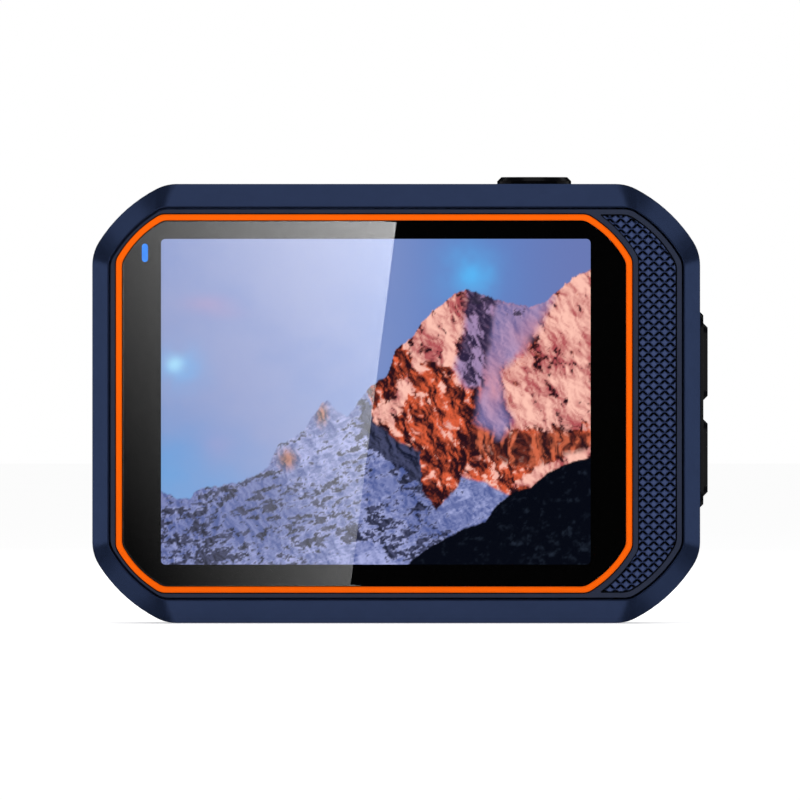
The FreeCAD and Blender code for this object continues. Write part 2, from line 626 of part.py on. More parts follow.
def make_lens():
    neck_start = HOUSING_STEP + 1
    neck = on_lens(8.3, HOUSING_BORE_R, neck_start, HOUSING_FRONT)
    for turn in range(BAYONET_LUGS):
        notch = box(LENS_X - 1.6, LENS_X + 1.6, neck_start - 0.1, HOUSING_FRONT + 0.1,
                    LENS_Z + 7.9, LENS_Z + 9)
        neck = neck.cut(around_lens(notch, 45 + 360 / BAYONET_LUGS * turn))
    nodes["lens_housing"] = joined([on_lens(9.8, HOUSING_BORE_R, HOUSING_BACK, HOUSING_FLANGE),
                                    on_lens(9.0, HOUSING_BORE_R, HOUSING_BACK, FRONT),
                                    on_lens(9.6, HOUSING_BORE_R, FRONT, HOUSING_STEP),
                                    on_lens(7.9, HOUSING_BORE_R, HOUSING_STEP, neck_start), neck])
    nodes["lens_accent_ring"] = on_lens(10.2, 9.65, FRONT, FRONT + 0.8)

    def bore(radius, start, end):
        return rod("y", radius, start, end, LENS_X, LENS_Z)

    barrel = joined([bore(5.98, BARREL_BACK, 10), bore(7.0, 9.9, BARREL_FRONT)])
    barrel = barrel.cut(bore(SMALL_BORE_R, BARREL_BACK - 0.4, 9)).cut(bore(LARGE_BORE_R, 8.6, 14))
    nodes["lens_barrel"] = barrel.cut(bore(6.15, BARREL_FRONT - 1, BARREL_FRONT + 0.1))
    large = LARGE_BORE_R - 0.02
    small = SMALL_BORE_R - 0.02
    nodes["lens_element_1"] = lens_element(large, 11.4, 15.0, 9.0, 1.4)
    nodes["lens_element_2"] = lens_element(large, 9.0, 10.9, 14.0, 0.6)
    nodes["lens_element_3"] = lens_element(small, 6.0, 8.2, 10.0, 0.7)
    nodes["lens_element_4"] = lens_element(small, 2.9, 5.1, 8.0, 0.5)
    nodes["lens_retaining_ring"] = on_lens(6.1, 4.9, BARREL_FRONT - 0.95, BARREL_FRONT - 0.2)
    make_lens_cover()


def around_axis(half_x, half_z, y0, y1):
    return box(LENS_X - half_x, LENS_X + half_x, y0, y1, LENS_Z - half_z, LENS_Z + half_z)


def make_sensor():
    board_front = -0.8
    board_back = board_front - 0.8
    holder = joined([around_axis(7, 7, board_front, BARREL_BACK),
                     rod("y", 7.4, BARREL_BACK - 0.1, 8.0, LENS_X, LENS_Z)])
    holder = holder.cut(around_axis(5.2, 5.2, -1, 1.4)).cut(rod("y", SMALL_BORE_R, 1, 3, LENS_X, LENS_Z))
    nodes["lens_holder"] = holder.cut(rod("y", 6.0, BARREL_BACK, 9, LENS_X, LENS_Z))
    nodes["ir_filter"] = around_axis(5.1, 5.1, 1.1, 1.4)
    nodes["image_sensor"] = around_axis(4.5, 3.9, board_front, 0.3)
    nodes["sensor_board"] = around_axis(7.5, 7.5, board_back, board_front)
    edge = LENS_Z - 7.5
    film = 0.15
    x0 = -13.5
    x1 = -9.5
    nodes["sensor_flex"] = joined([
        box(x0, x1, board_back - film, board_back, edge - 0.05, edge + 5),
        box(x0, x1, BOARD_FRONT + film, board_back, edge - 0.05 - film, edge - 0.05),
        box(x0, x1, BOARD_FRONT, BOARD_FRONT + film, edge - 4, edge - 0.05)])


# ---- Electronics ----
def make_boards():
    board = joined([box(-25.6, 22.0, BOARD_BACK, BOARD_FRONT, 6.2, 35.8),
                    box(21.9, 25.4, BOARD_BACK, BOARD_FRONT, 13.0, 29.0)])
    plate_front = PLATE_BACK + PLATE_T
    plate = box(-22.8, 22.3, PLATE_BACK, plate_front, 6.0, 36.0)
    for x, z in BOARD_SCREWS:
        plate = plate.fuse(rod("y", 1.3, plate_front - 0.1, BOARD_BACK, x, z))
    for x, z in BOARD_SCREWS:
        board = board.cut(rod("y", BOARD_SCREW_R + 0.17, PLATE_BACK - 0.4, -4, x, z))
        plate = plate.cut(rod("y", BOARD_SCREW_R, PLATE_BACK + 0.2, -4, x, z))
    nodes["main_board"] = board
    nodes["chassis_plate"] = plate
    nodes["processor"] = box(2, 14, BOARD_FRONT, BOARD_FRONT + 1.0, 16, 28)
    can = box(-1, 18, BOARD_FRONT, BOARD_FRONT + 1.8, 12, 31)
    nodes["shield_can"] = can.cut(box(-0.8, 17.8, BOARD_FRONT - 1, BOARD_FRONT + 1.6, 12.2, 30.8))
    nodes["side_key_board"] = box(KEY_SWITCH_X - 0.6, KEY_SWITCH_X, BOARD_FRONT, 4.0,
                                  MID_Z - 7.5, MID_Z + 7.5)
    film = 0.12
    x0 = SHUTTER_X - 1.5
    x1 = SHUTTER_X + 1.5
    top = SHUTTER_SWITCH_Z
    nodes["shutter_flex"] = joined([box(x0, x1, BOARD_FRONT + 0.02, 3.0, top - film, top),
                                    box(x0, x1, BOARD_FRONT, BOARD_FRONT + film, 33.0, top)])


def make_sockets():
    mouth_x = -26.2
    usb_z = 16.0
    wall = 0.3
    middle = BOARD_FRONT + 1.58
    shell = placed(pill(8.94, 3.16, 7.3, 1.57), (mouth_x, middle, usb_z), *FACING_RIGHT)
    hollow = pill(8.94 - 2 * wall, 3.16 - 2 * wall, 6.4, 1.57 - wall)
    hollow = placed(hollow, (mouth_x - 0.1, middle, usb_z), *FACING_RIGHT)
    tongue = box(mouth_x + 0.5, -19.5, middle - 0.35, middle + 0.35, usb_z - 3.3, usb_z + 3.3)
    nodes["usb_c_socket"] = joined([shell.cut(hollow), tongue])

    shell = box(mouth_x, -19.4, BOARD_FRONT, BOARD_FRONT + 2.8, 22.6, 29.0)
    hollow = box(-27, -20.0, BOARD_FRONT + 0.3, BOARD_FRONT + 2.5, 22.9, 28.7)
    tongue = box(-25.6, -19.6, BOARD_FRONT + 1.1, BOARD_FRONT + 1.7, 23.6, 28.0)
    nodes["micro_hdmi_socket"] = joined([shell.cut(hollow), tongue])

    tray = box(-24.0, -8.4, -7.75, BOARD_BACK, 14.2, 26.6)
    nodes["microsd_socket"] = tray.cut(box(-25, -8.7, -7.5, -6.5, 14.7, 26.1))
    card = box(-24.4, -9.4, -7.35, -6.65, 14.9, 25.9)
    upright = [edge for edge in card.Edges if edge.BoundBox.YLength > 0.69]
    card = card.makeFillet(0.6, upright)
    nodes["microsd_card"] = card.cut(box(-16.5, -9.0, -8, -6, 25.2, 26.5))


def make_power():
    x0 = BATTERY_LEFT - BAY_CLEAR
    x1 = BATTERY_RIGHT + BAY_CLEAR
    y0 = BATTERY_BACK - BAY_CLEAR
    y1 = BATTERY_BACK + BATTERY_T + BAY_CLEAR
    top = BATTERY_BASE + BATTERY_H
    bay = box(x0 - BAY_WALL, x1 + BAY_WALL, y0 - BAY_WALL, y1 + BAY_WALL, 2.3, top + 1.7)
    bay = bay.cut(box(x0, x1, y0, y1, 2, top + 1.1))
    blades = []
    for number in range(3):
        x = -4.0 + 2.5 * number
        bay = bay.cut(box(x - 0.45, x + 0.45, 2.05, 2.95, top + 1, top + 2))
        blades.append(box(x - 0.4, x + 0.4, 2.1, 2.9, top + 0.05, top + 2.1))
    nodes["battery_bay"] = bay
    nodes["battery_contacts"] = Part.makeCompound(blades)

    pack = box(BATTERY_LEFT, BATTERY_RIGHT, BATTERY_BACK, BATTERY_BACK + BATTERY_T, BATTERY_BASE, top)
    upright = [edge for edge in pack.Edges if edge.BoundBox.ZLength > 10]
    nodes["battery"] = pack.makeFillet(1.2, upright)
    nodes["battery_pull_tab"] = box(1.5, 11.0, 0.0, 5.0, BATTERY_BASE - 0.2, BATTERY_BASE)

    bow = 14.34              # radius of the bent leaf spring
    leaf = 0.15
    arch = washer("y", bow, bow - leaf, 0.5, 4.5, 11.0, top + 1.05 - bow)
    nodes["eject_spring"] = arch.common(box(6, 16, 0, 5, top + 0.05, top + 2))


# ---- Keys ----
def make_key(name, z):
    flange_t = 0.5
    cap_length = BODY_W / 2 + KEY_PROUD - KEY_FLANGE_X - flange_t
    cap = pill_cap(KEY_LENGTH, KEY_WIDTH, cap_length, KEY_R, KEY_PROUD - KEY_PLATE_PROUD)
    cap.translate(Vector(0, 0, flange_t))
    flange = pill(KEY_LENGTH + 1.2, KEY_WIDTH + 1.0, flange_t, KEY_R + 0.2)
    nub = Part.makeCylinder(0.8, flange_t, Vector(0, 0, -0.4))
    nodes[name] = placed(joined([cap, flange, nub]), (KEY_FLANGE_X, 0, z), *FACING_RIGHT)


def make_side_keys():
    plate = pill_cap(KEY_PLATE_H, KEY_PLATE_W, KEY_PLATE_SUNK + KEY_PLATE_PROUD, KEY_PLATE_R, 0.3)
    plate = placed(plate, (BODY_W / 2 - KEY_PLATE_SUNK, 0, KEY_PLATE_Z), *FACING_RIGHT)
    for name, z in (("up_key", UP_KEY_Z), ("down_key", DOWN_KEY_Z)):
        hole = pill(KEY_LENGTH + 2 * GAP, KEY_WIDTH + 2 * GAP, 6, KEY_R + GAP)
        plate = plate.cut(placed(hole, (BODY_W / 2 - 3, 0, z), *FACING_RIGHT))
        make_key(name, z)
    nodes["key_plate"] = plate


def make_shutter():
    height = BODY_H + SHUTTER_PROUD - SHUTTER_FOOT
    stem = pill_cap(SHUTTER_W, SHUTTER_L, height, SHUTTER_R, 0.38)
    stem.translate(Vector(0, 0, SHUTTER_FOOT))
    flange = pill(SHUTTER_W + 1.3, SHUTTER_L + 1.3, 0.5, SHUTTER_R + 0.5)
    flange.translate(Vector(0, 0, SHUTTER_FOOT - 0.25))
    nub = Part.makeCylinder(0.8, 0.6, Vector(0, 0, SHUTTER_FOOT - 0.65))
    seal = pill(SHUTTER_W + 0.2, SHUTTER_L + 0.2, 0.6, SHUTTER_R + 0.1)
    seal = seal.cut(pill(SHUTTER_W - 0.7, SHUTTER_L - 0.7, 0.6, SHUTTER_R - 0.35))
    seal.translate(Vector(0, 0, SHUTTER_FOOT + 1.3))
    button = joined([stem, flange, nub]).cut(seal)
    for shape, name in ((button, "shutter_button"), (seal, "shutter_seal")):
        shape.translate(Vector(SHUTTER_X, 0, 0))
        nodes[name] = shape


def make_switches():
    """A small square switch with a round plunger behind each key and the shutter."""
    half = 1.5
    switches = []
    for z in (UP_KEY_Z, DOWN_KEY_Z):
        base = box(KEY_SWITCH_X, KEY_SWITCH_X + 0.6, -half, half, z - half, z + half)
        switches.append(base.fuse(rod("x", 0.7, KEY_SWITCH_X + 0.5, KEY_SWITCH_X + 0.8, 0, z)))
    foot = SHUTTER_SWITCH_Z
    base = box(SHUTTER_X - half, SHUTTER_X + half, -half, half, foot, foot + 0.53)
    switches.append(base.fuse(rod("z", 0.7, foot + 0.48, foot + 0.78, SHUTTER_X, 0)))
    nodes["tact_switches"] = Part.makeCompound(switches)


# ---- Fixings ----
def screw(x, z, under_head, head_r, head_t, shank_r, length):
    """A cross-head screw along Y with its head towards the front."""
    body = joined([rod("y", head_r, under_head, under_head + head_t, x, z),
                   rod("y", shank_r, under_head - length, under_head + 0.1, x, z)])
    top = under_head + head_t
    slot_floor = top - 0.35
    long = head_r * 0.6
    thin = 0.15
    body = body.cut(box(x - long, x + long, slot_floor, top + 1, z - thin, z + thin))
    return body.cut(box(x - thin, x + thin, slot_floor, top + 1, z - long, z + long))


def make_fixings():
    case_screws = []
    for places, under_head in ((COVER_SCREWS, FRONT - 0.9), (PANEL_SCREWS, -7.0)):
        for x, z in places:
            case_screws.append(screw(x, z, under_head, SCREW_HEAD_R, SCREW_HEAD_T, SCREW_R, SCREW_LENGTH))
    nodes["case_screws"] = Part.makeCompound(case_screws)
    nodes["board_screws"] = Part.makeCompound(
        [screw(x, z, BOARD_FRONT, 1.1, 0.6, BOARD_SCREW_R, 2.8) for x, z in BOARD_SCREWS])
    insert = rod("z", TRIPOD_INSERT_R, 0, TRIPOD_INSERT_L, TRIPOD_X, 0)
    nodes["tripod_insert"] = insert.cut(rod("z", TRIPOD_THREAD_R, -1, TRIPOD_DEPTH, TRIPOD_X, 0))


def main():
    make_main_casing()
    make_rear_panel()
    make_screen()
    make_grip()
    make_front_cover()
    make_lights_and_sound()
    make_lens()
    make_sensor()
    make_boards()
    make_sockets()
    make_power()
    make_battery_door()
    make_port_door()
    make_hinge_pins()
    make_side_keys()
    make_shutter()
    make_switches()
    make_fixings()
    os.makedirs("parts", exist_ok=True)
    for name, shape in nodes.items():
        moved = shape.copy()
        moved.translate(SHIFT)
        moved.exportStep("parts/" + name + ".step")
        print(name, len(moved.Solids), moved.isValid(), round(moved.Volume, 2))


main()
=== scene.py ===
import json
import math

import bpy
import numpy as np
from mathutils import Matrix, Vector


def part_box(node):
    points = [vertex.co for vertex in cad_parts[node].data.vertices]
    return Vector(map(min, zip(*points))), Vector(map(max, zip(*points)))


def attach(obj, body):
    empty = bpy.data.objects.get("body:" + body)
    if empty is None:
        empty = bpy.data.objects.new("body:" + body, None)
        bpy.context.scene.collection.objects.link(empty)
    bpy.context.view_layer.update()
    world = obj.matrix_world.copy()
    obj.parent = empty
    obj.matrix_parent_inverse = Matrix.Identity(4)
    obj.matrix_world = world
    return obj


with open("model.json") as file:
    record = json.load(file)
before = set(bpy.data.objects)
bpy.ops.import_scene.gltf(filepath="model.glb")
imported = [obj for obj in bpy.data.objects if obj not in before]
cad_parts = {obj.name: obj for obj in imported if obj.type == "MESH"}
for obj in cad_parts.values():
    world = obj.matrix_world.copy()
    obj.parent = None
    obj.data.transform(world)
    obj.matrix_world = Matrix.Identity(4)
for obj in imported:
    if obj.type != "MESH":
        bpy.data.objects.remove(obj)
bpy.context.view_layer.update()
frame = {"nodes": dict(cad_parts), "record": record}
MM = 0.001

# Places on the camera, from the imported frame, in metres.
GLASS_LOW, GLASS_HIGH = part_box("screen_glass")
CELL_LOW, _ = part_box("lcd_cell")
CASE_LOW, CASE_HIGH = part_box("main_casing")
GRIP_LOW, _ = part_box("grip_panel")
MIDDLE_X = (CASE_LOW.x + CASE_HIGH.x) / 2
MIDDLE_Z = (CASE_LOW.z + CASE_HIGH.z) / 2

# The lit picture on the rear screen.
PICTURE_LEFT = MIDDLE_X - 22.43 * MM
PICTURE_RIGHT = MIDDLE_X + 18.54 * MM
PICTURE_LOW = MIDDLE_Z - 15.36 * MM
PICTURE_HIGH = MIDDLE_Z + 15.70 * MM
PICTURE_CORNER = 0.4 * MM
PICTURE_MARGIN = 0.1 * MM    # how far the picture runs on behind the border
PICTURE_GAP = 0.05 * MM      # from the picture back to the display cell

# The black border printed behind the glass, with a window for the status light.
PRINT_INSET = 0.02 * MM
PRINT_GAP = 0.02 * MM
PRINT_THICKNESS = 0.02 * MM
LIGHT_X = MIDDLE_X - 23.97 * MM
LIGHT_Z = MIDDLE_Z + 14.37 * MM
LIGHT_HALF_WIDTH = 0.29 * MM
LIGHT_HALF_HEIGHT = 0.875 * MM
LIGHT_CORNER = 0.28 * MM


# ---- Materials ----
def linear(red, green, blue):
    """A display colour from 0 to 255 as linear light."""
    value = np.array([red, green, blue]) / 255
    return np.where(value <= 0.04045, value / 12.92, ((value + 0.055) / 1.055) ** 2.4)


def rgba(colour):
    return (*[float(part) for part in colour], 1.0)


class Finish:
    """A principled material with the wiring that the finishes share."""

    def __init__(self, name, colour, roughness=0.5, metallic=0.0, specular=0.5):
        self.material = bpy.data.materials.new(name)
        self.material.use_nodes = True
        self.tree = self.material.node_tree
        self.shader = self.tree.nodes["Principled BSDF"]
        self.shader.inputs["Base Color"].default_value = rgba(colour)
        self.shader.inputs["Roughness"].default_value = roughness
        self.shader.inputs["Metallic"].default_value = metallic
        self.shader.inputs["Specular IOR Level"].default_value = specular
        self.colour = colour
        self.place = self.node("ShaderNodeTexCoord").outputs["Object"]

    def node(self, kind, **settings):
        made = self.tree.nodes.new(kind)
        for key, value in settings.items():
            if key in made.inputs:
                made.inputs[key].default_value = value
            else:
                setattr(made, key, value)
        return made

    def link(self, source, target):
        self.tree.links.new(source, target)

    def noise(self, size, detail=3.0, roughness=0.55, stretch=None):
        """Noise with features about size metres across."""
        noise = self.node("ShaderNodeTexNoise", Scale=1.0 / size, Detail=detail, Roughness=roughness)
        place = self.place
        if stretch is not None:
            mapping = self.node("ShaderNodeMapping", Scale=stretch)
            self.link(place, mapping.inputs["Vector"])
            place = mapping.outputs["Vector"]
        self.link(place, noise.inputs["Vector"])
        return noise.outputs["Fac"]

    def spread(self, value, low, high, start=0.3, end=0.7):
        """The value's start to end range carried to low to high."""
        ranged = self.node("ShaderNodeMapRange")
        self.link(value, ranged.inputs["Value"])
        for key, number in (("From Min", start), ("From Max", end), ("To Min", low), ("To Max", high)):
            ranged.inputs[key].default_value = number
        return ranged.outputs["Result"]

    def mottle(self, size, amount, detail=4.0):
        """Uneven colour: the base colour times 1 - amount to 1 + amount."""
        mix = self.node("ShaderNodeMix", data_type="RGBA")
        self.link(self.spread(self.noise(size, detail), 0.0, 1.0), mix.inputs["Factor"])
        mix.inputs["A"].default_value = rgba(np.array(self.colour) * (1 - amount))
        mix.inputs["B"].default_value = rgba(np.minimum(np.array(self.colour) * (1 + amount), 1.0))
        self.link(mix.outputs["Result"], self.shader.inputs["Base Color"])
        return self

    def rough(self, size, low, high):
        self.link(self.spread(self.noise(size, 4.0), low, high), self.shader.inputs["Roughness"])
        return self

    def grain(self, size, depth, detail=2.0, stretch=None, edge=0.0):
        """Fine relief. edge is the radius that sharp edges are rounded to."""
        bump = self.node("ShaderNodeBump", Strength=1.0, Distance=depth)
        self.link(self.noise(size, detail, 0.6, stretch), bump.inputs["Height"])
        if edge > 0:
            bevel = self.node("ShaderNodeBevel", samples=8, Radius=edge)
            self.link(bevel.outputs["Normal"], bump.inputs["Normal"])
        self.link(bump.outputs["Normal"], self.shader.inputs["Normal"])
        return self


SATIN_EDGE = (0.5, 0.56, 0.7)    # reflections at a low angle stay tinted


def moulded(name, colour, roughness, edge=0.12 * MM, specular=0.5, uneven=0.06):
    """Moulded plastic or rubber: faint mottling, uneven gloss and a fine grain."""
    finish = Finish(name, colour, roughness, specular=specular)
    finish.mottle(3 * MM, uneven).rough(0.9 * MM, roughness - 0.04, roughness + 0.04)
    return finish.grain(0.09 * MM, 0.002 * MM, edge=edge)


def satin(name, colour, roughness, metallic, edge, grain):
    """Satin metallic paint or anodising over a smooth part."""
    finish = Finish(name, colour, roughness, metallic, specular=0.05)
    finish.shader.inputs["Specular Tint"].default_value = rgba(SATIN_EDGE)
    finish.mottle(2.5 * MM, 0.04).rough(0.7 * MM, roughness - 0.02, roughness + 0.03)
    return finish.grain(0.06 * MM, grain, edge=edge)


def machined(name, colour, roughness, brushed=None):
    """Bare machined metal, brushed along the axis whose stretch is largest."""
    finish = Finish(name, colour, roughness, metallic=1.0)
    finish.mottle(1.2 * MM, 0.10).rough(0.5 * MM, roughness * 0.8, roughness * 1.25)
    return finish.grain(0.12 * MM, 0.0015 * MM, stretch=brushed, edge=0.06 * MM)


def clear_glass(name, tint, ior=1.5):
    finish = Finish(name, tint, 0.0)
    finish.shader.inputs["Transmission Weight"].default_value = 1.0
    finish.shader.inputs["IOR"].default_value = ior
    return finish


# A cover glass with what is bonded behind it mirrors this share of the light that meets it head on.
# The glass itself is set to mirror next to nothing, and what is behind it does the mirroring.
GLASS_REFLECTS = 0.077
COVER_GLASS_IOR = 1.02
MIRROR_LEVEL = GLASS_REFLECTS / 0.08    # the shader's specular level 1 mirrors 0.08


def behind_glass(name, colour):
    """Something black bonded to the back of a cover glass."""
    finish = Finish(name, colour, 0.0, specular=MIRROR_LEVEL)
    return finish.mottle(3 * MM, 0.06).rough(5 * MM, 0.0, 0.01)


# These set where the painted shade in the grip's grooves falls.
GROOVE_DEPTH = 0.3 * MM
GRIP_ROW = 0.513 * MM    # height between two rows of groove crossings
GRIP_CROSSING_Z = MIDDLE_Z + 0.17 * MM


def grooved(name, colour, groove_shade_colour):
    """Rubber with crossed grooves cut from the face that looks to -Y.

    The groove floors carry painted shade: darker the deeper they go, and below every row of crossings
    painted dark for most of the way to the next row.
    """
    finish = moulded(name, colour, 0.5, 0.0, 0.2)

    def step(operation, first, *values):
        node = finish.node("ShaderNodeMath", operation=operation)
        finish.link(first, node.inputs[0])
        for socket, value in zip(node.inputs[1:], values):
            if isinstance(value, float):
                socket.default_value = value
            else:
                finish.link(value, socket)
        return node.outputs["Value"]

    split = finish.node("ShaderNodeSeparateXYZ")
    finish.link(finish.place, split.inputs["Vector"])
    # Painted shade: nothing at the groove's mouth, full deeper down in the groove.
    recess_shade = finish.spread(split.outputs["Y"], 0.0, 1.0, start=GRIP_LOW.y + 0.22 * GROOVE_DEPTH,
                         end=GRIP_LOW.y + 0.62 * GROOVE_DEPTH)
    # Painted shade in chevrons: full below each row of crossings, fading out before the next row.
    row = step("MULTIPLY", step("SUBTRACT", split.outputs["Z"], GRIP_CROSSING_Z), 1.0 / GRIP_ROW)
    below = step("SUBTRACT", step("CEIL", row), row)
    dark = finish.spread(below, 1.0, 0.12, start=0.62, end=0.80)
    mix = finish.node("ShaderNodeMix", data_type="RGBA")
    face = finish.shader.inputs["Base Color"].links[0].from_socket
    finish.link(step("MULTIPLY", recess_shade, dark), mix.inputs["Factor"])
    finish.link(face, mix.inputs["A"])
    mix.inputs["B"].default_value = rgba(groove_shade_colour)
    finish.link(mix.outputs["Result"], finish.shader.inputs["Base Color"])
    return finish


def make_finishes():
    finishes = {
        "navy_shell": satin("navy_satin_paint", (0.027, 0.042, 0.098), 0.23, 0.7, 0.10 * MM,
                            0.0004 * MM),
        "navy_panel": moulded("navy_panel_plastic", linear(38, 45, 65), 0.5, 0.03 * MM, 0.2),
        # The second colour is the painted shade in the groove floors.
        "grip_rubber": grooved("grip_rubber", linear(55, 68, 106), linear(6, 8, 14)),
        "orange_trim": moulded("orange_trim_plastic", linear(243, 95, 3), 0.34, 0.03 * MM, 0.04, 0.02),
        "black_glass": clear_glass("cover_glass", (1.0, 1.0, 1.0), COVER_GLASS_IOR),
        "display": behind_glass("display_cell", linear(5, 5, 7)),
        "screen_border": behind_glass("screen_border_print", linear(3, 3, 4)),
        "lens_glass": clear_glass("lens_glass", (0.97, 0.99, 1.0)),
        "black_metal": satin("black_anodised", linear(46, 47, 52), 0.32, 0.8, 0.06 * MM, 0.0008 * MM),
        "black_gloss": moulded("black_gloss_plastic", linear(9, 9, 12), 0.22, 0.10 * MM, 0.09),
        "black_matte": moulded("black_matte_plastic", linear(30, 30, 33), 0.6, 0.05 * MM),
        "seal_rubber": moulded("seal_rubber", linear(24, 24, 25), 0.75, 0.03 * MM),
        "steel": machined("satin_steel", linear(190, 192, 196), 0.3),
        "plate_aluminium": machined("plain_aluminium", linear(205, 207, 210), 0.38, (1, 1, 8)),
        "brass": machined("machined_brass", linear(214, 176, 104), 0.28),
        "board_green": moulded("solder_mask", linear(14, 92, 52), 0.35),
        "flex_amber": moulded("polyimide_film", linear(190, 118, 40), 0.4),
        "battery_wrap": moulded("battery_pack", linear(44, 45, 50), 0.5),
        "tab_orange": moulded("woven_tab", linear(226, 98, 24), 0.8),
        "backlight_white": moulded("light_guide", linear(225, 226, 230), 0.4),
        "light_pipe": moulded("light_pipe", linear(20, 40, 80), 0.3),
    }
    lamp = finishes["light_pipe"]
    flicker = lamp.node("ShaderNodeMix", data_type="RGBA")
    lamp.link(lamp.spread(lamp.noise(0.5 * MM), 0.0, 1.0), flicker.inputs["Factor"])
    flicker.inputs["A"].default_value = rgba(linear(64, 136, 250))
    flicker.inputs["B"].default_value = rgba(linear(84, 158, 255))
    lamp.link(flicker.outputs["Result"], lamp.shader.inputs["Emission Color"])
    lamp.shader.inputs["Emission Strength"].default_value = 1.0
    return finishes


def dress_frame(finishes):
    """Gives each carried-over CAD node the finish of its slot."""
    for part in frame["record"]["subparts"]:
        mesh = frame["nodes"][part["node"]].data
        mesh.materials.clear()
        mesh.materials.append(finishes[part["material_slot"]].material)


# ---- The picture on the rear screen ----
PICTURE_SHAPE = (PICTURE_RIGHT - PICTURE_LEFT) / (PICTURE_HIGH - PICTURE_LOW)


def smooth(low, high, value):
    t = np.clip((value - low) / (high - low), 0, 1)
    return t * t * (3 - 2 * t)


def lattice_noise(x, y, seed):
    """Smooth noise from -1 to 1 with features one unit across."""
    table = np.random.default_rng(seed).uniform(-1, 1, (128, 128))
    column = np.floor(x).astype(int)
    row = np.floor(y).astype(int)
    across = smooth(0, 1, x - column)
    along = smooth(0, 1, y - row)

    def at(i, j):
        return table[(row + j) % 128, (column + i) % 128]

    low = at(0, 0) * (1 - across) + at(1, 0) * across
    high = at(0, 1) * (1 - across) + at(1, 1) * across
    return low * (1 - along) + high * along


def layered(x, y, seed, octaves, keep=0.5, ridged=False):
    """Noise in octaves, each finer one keep times as strong. Ridged noise has sharp crests."""
    total = np.zeros_like(x)
    for octave in range(octaves):
        layer = lattice_noise(x * 2.03 ** octave, y * 2.03 ** octave, seed + octave)
        total += keep ** octave * (1 - 2 * np.abs(layer) if ridged else layer)
    return total * (1 - keep) / (1 - keep ** octaves)


def paint(view, shade, share):
    """The view with a colour, or an image of colours, laid over it by share."""
    return view + (shade - view) * np.clip(share, 0, 1)[..., None]


def two_tone(dark, light, share):
    return paint(np.broadcast_to(linear(*dark), (*share.shape, 3)), linear(*light), share)


# The picture's layout in fractions of its width and height: skyline, lower edge of the sunlit
# side, top of the dark slope in front, and the main faces in sun and in shade.
SKYLINE = [(0, .225), (.04, .205), (.07, .205), (.085, .23), (.15, .245), (.21, .265),
           (.25, .295), (.275, .37), (.30, .38), (.335, .41), (.36, .465), (.375, .495),
           (.39, .505), (.41, .465), (.435, .455), (.46, .50), (.49, .55), (.525, .575),
           (.545, .655), (.58, .69), (.62, .762), (.68, .825), (.71, .843), (.775, .812),
           (.854, .785), (.89, .80), (.925, .838), (.945, .862), (.965, .886), (1, .899)]
SUNLIT_EDGE = [(0, 1), (.47, .56), (.50, .44), (.545, .385), (.60, .345), (.615, .22),
               (.645, .165), (.70, .27), (.76, .25), (.80, .22), (.86, .20), (1, .20)]
FRONT_SLOPE = [(0, -.2), (.56, -.02), (.585, .02), (.635, .065), (.70, .11), (.755, .135),
               (.78, .185), (.82, .225), (.86, .24), (.90, .285), (.95, .315), (1, .33)]
SUMMIT_FACE = [(.68, .83), (.712, .85), (.716, .79), (.70, .71), (.665, .61), (.59, .61),
               (.57, .68), (.62, .77)]
SUMMIT_SHADE = [(.708, .85), (.78, .82), (.765, .73), (.76, .62), (.742, .54), (.705, .54),
                (.675, .60), (.705, .72)]
GULLY = [(.77, .82), (.86, .79), (.91, .82), (.875, .73), (.84, .66), (.79, .60),
         (.795, .52), (.815, .44), (.79, .385), (.765, .42), (.735, .44), (.745, .54),
         (.76, .66)]
CLIFFS = [(.73, .43), (.80, .405), (1, .41), (1, .36), (.93, .335), (.86, .30), (.80, .31),
          (.72, .36)]
RIGHT_FACE = [(.79, .60), (.86, .68), (.92, .84), (1, .92), (1.05, .42), (.80, .42)]
SNOW_LEDGES = [[(.49, .46), (.57, .58), (.60, .56), (.55, .47), (.52, .41)],
               [(.66, .19), (.70, .28), (.725, .31), (.70, .20)],
               [(.80, .21), (.87, .30), (1, .37), (1, .30), (.88, .25)]]

# Where the cold side shows more bare rock (a share above 0) or less: share, soft edge, outline.
BARE_PATCHES = [(0.35, 0.08, [(0, .24), (.30, .28), (.34, .12), (.10, .02), (0, .06)]),
                (1.7, 0.02, [(.47, .50), (.52, .43), (.60, .37), (.61, .26), (.54, .31), (.48, .40)]),
                (0.5, 0.04, [(.55, .30), (.62, .22), (.66, .10), (.62, .06), (.57, .20)]),
                (-0.35, 0.06, [(.30, .36), (.44, .46), (.46, .36), (.34, .28)]),
                (-0.40, 0.03, [(.62, .12), (.68, .24), (.78, .24), (.80, .20), (.72, .12)]),
                (-0.60, 0.05, [(.30, -.1), (.42, .05), (.52, .04), (.60, -.1)])]

# Pink on the clouds: share, middle, width and height.
CLOUD_BLUSH = [(0.22, .11, .80, .07, .025), (0.10, .15, .77, .06, .02), (0.12, .13, .37, .05, .04)]

# Blue glows in the sky: colour, share, middle, width.
GLOWS = [((88, 186, 250), 0.65, .72, .89, .09), ((88, 186, 250), 0.4, .72, .885, .03),
         ((88, 186, 250), 0.5, .045, .60, .07), ((176, 232, 255), 0.8, .035, .615, .025)]


def under(line, u):
    return np.interp(u, [spot[0] for spot in line], [spot[1] for spot in line])


def zone(corners, u, v, soft=0.012):
    """How far each place is inside a polygon, from 0 outside to 1 inside."""
    inside = np.zeros(u.shape, bool)
    away = np.full(u.shape, 9.0)
    for (u0, v0), (u1, v1) in zip(corners, corners[1:] + corners[:1]):
        inside ^= ((v0 > v) != (v1 > v)) & (u < (u1 - u0) * (v - v0) / (v1 - v0 + 1e-9) + u0)
        length_squared = (u1 - u0) ** 2 + (v1 - v0) ** 2
        along = np.clip(((u - u0) * (u1 - u0) + (v - v0) * (v1 - v0)) / length_squared, 0, 1)
        away = np.minimum(away, np.hypot(u - u0 - along * (u1 - u0), v - v0 - along * (v1 - v0)))
    return smooth(-soft, soft, np.where(inside, away, -away))


